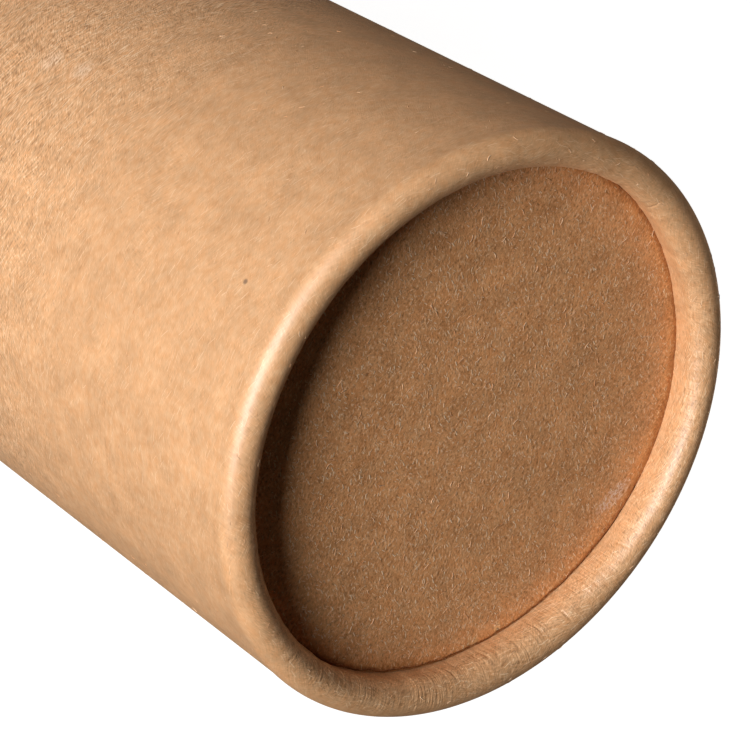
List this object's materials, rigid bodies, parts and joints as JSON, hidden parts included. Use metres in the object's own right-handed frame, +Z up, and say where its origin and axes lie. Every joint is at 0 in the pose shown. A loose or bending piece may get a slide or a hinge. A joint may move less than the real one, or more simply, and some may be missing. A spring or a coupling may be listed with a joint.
{
  "type": "cardboard cylinder box",
  "caption": "Round kraft cardboard tube box with a lift-off lid, rolled-in rims over recessed closing discs and an inner neck that guides the lid.",
  "frame": {"origin": "centre of the ring that the box stands on, on its axis", "axes": "+Z up along the axis of the tube, from the base to the lid"},
  "size_m": [0.075, 0.075, 0.16],
  "materials": {
    "kraft_wall": "matt brown kraft paper with a faint calendered sheen and visible fibres",
    "kraft_disc": "matt brown kraft board with visible fibres",
    "kraft_neck": "matt brown kraft board"
  },
  "bodies": {
    "box_body": {"body_tube": "kraft_wall", "base_disc": "kraft_disc", "neck_tube": "kraft_neck"},
    "lid": {"lid_tube": "kraft_wall", "lid_disc": "kraft_disc"}
  },
  "joints": [
    {"name": "lid_lift", "type": "slide", "parent": "box_body", "child": "lid", "axis": [0, 0, 1], "range_m": [0, 0.16]}
  ]
}
